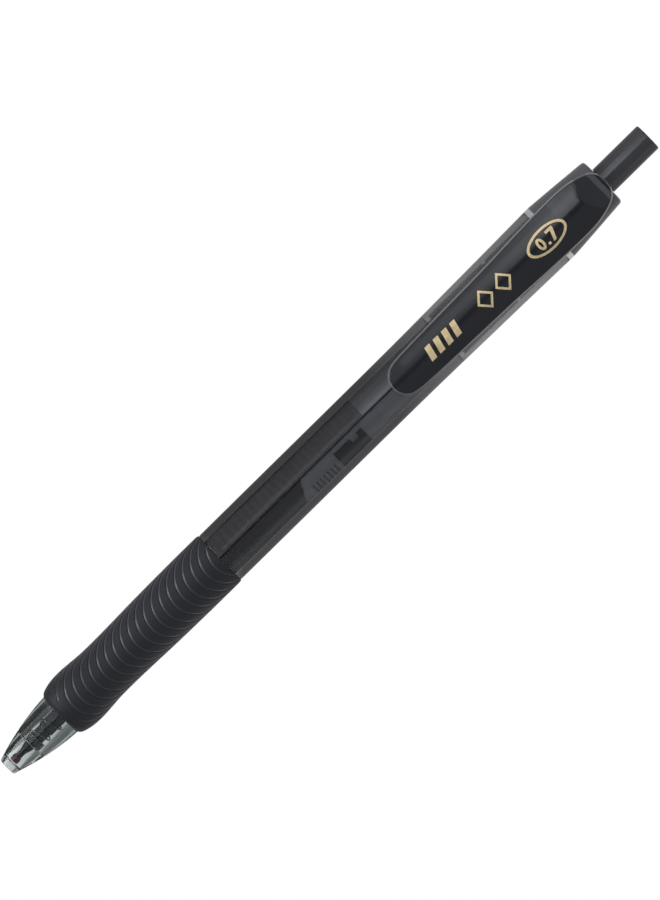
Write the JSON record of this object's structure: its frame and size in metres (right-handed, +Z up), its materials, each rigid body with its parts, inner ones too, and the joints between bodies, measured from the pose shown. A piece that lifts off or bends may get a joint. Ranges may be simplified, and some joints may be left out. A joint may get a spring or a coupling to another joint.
{
  "type": "gel pen",
  "caption": "Retractable gel pen with a clear nose, grooved rubber grip, smoky see-through barrel, spring-loaded leaf clip and push button.",
  "frame": {"origin": "on the floor plane under the middle of the pen's length, with the pen lying level and its centre line 5.38 mm up", "axes": "+X along the pen from the writing tip to the button, +Z up through the clip, +Y across"},
  "size_m": [0.145, 0.0108, 0.0149],
  "materials": {
    "clear_nose": "clear, faintly smoked",
    "rubber": "matte, finely grooved",
    "smoke_barrel": "glossy, smoky, see-through",
    "clear_ring": "clear",
    "natural_guide": "natural, see-through",
    "dark_cap": "glossy, nearly opaque",
    "dark_button": "satin",
    "white_cam": "natural",
    "clear_tube": "clear",
    "dark_neck": "satin",
    "nickel_point": "turned",
    "hard_ball": "polished",
    "red_wax": "soft gloss",
    "black_ink": "wet",
    "clear_grease": "milky",
    "label_paper": "printed",
    "print_dark": "printed",
    "spring_steel": "bright drawn",
    "black_clip": "polished",
    "gold_foil": "hot stamped foil"
  },
  "bodies": {
    "barrel": {"barrel": "smoke_barrel", "grip_sleeve": "rubber", "clear_ring": "clear_ring", "cam_guide": "natural_guide", "rear_cap": "dark_cap", "clip_pin": "spring_steel", "clip_spring": "spring_steel", "return_spring": "spring_steel"},
    "nose": {"nose_cone": "clear_nose"},
    "button": {"button": "dark_button", "cam_plunger": "white_cam"},
    "rotor": {"rotor_cam": "white_cam"},
    "refill": {"refill_tube": "clear_tube", "refill_neck": "dark_neck", "tip_point": "nickel_point", "ink": "black_ink", "ink_follower": "clear_grease", "refill_label": "label_paper", "refill_print": "print_dark", "refill_plug": "white_cam"},
    "ball": {"tip_ball": "hard_ball"},
    "bead": {"wax_bead": "red_wax"},
    "clip": {"clip_lever": "black_clip", "gold_bars": "gold_foil", "gold_lozenges": "gold_foil", "gold_size": "gold_foil"}
  },
  "joints": [
    {"name": "button_press", "type": "slide", "parent": "barrel", "child": "button", "axis": [-1, 0, 0], "range_m": [0, 0.0055], "stiffness_N_per_m": 200, "springref_m": -0.005},
    {"name": "rotor_turn", "type": "hinge", "parent": "button", "child": "rotor", "pos_m": [0.04045, 0, 0.00538], "axis": [1, 0, 0], "range_deg": [0, 45]},
    {"name": "refill_slide", "type": "slide", "parent": "barrel", "child": "refill", "axis": [-1, 0, 0], "range_m": [0, 0.0055], "deforming": ["return_spring"]},
    {"name": "ball_spin", "type": "hinge", "parent": "refill", "child": "ball", "pos_m": [-0.0701, 0, 0.00538], "axis": [0, 1, 0], "continuous": true},
    {"name": "bead_pull", "type": "slide", "parent": "refill", "child": "bead", "axis": [-1, 0, 0], "range_m": [0, 0.006]},
    {"name": "nose_off", "type": "slide", "parent": "barrel", "child": "nose", "axis": [-1, 0, 0], "range_m": [0, 0.03]},
    {"name": "clip_open", "type": "hinge", "parent": "barrel", "child": "clip", "pos_m": [0.05405, 0, 0.01218], "axis": [0, 1, 0], "range_deg": [0, 8], "stiffness_Nm_per_rad": 0.02, "springref_deg": -85.94, "deforming": ["clip_spring"]}
  ],
  "couplings": [
    {"joint": "rotor_turn", "follows": "button_press", "rad_per_m": 142.79},
    {"joint": "refill_slide", "follows": "button_press", "ratio": 1}
  ]
}
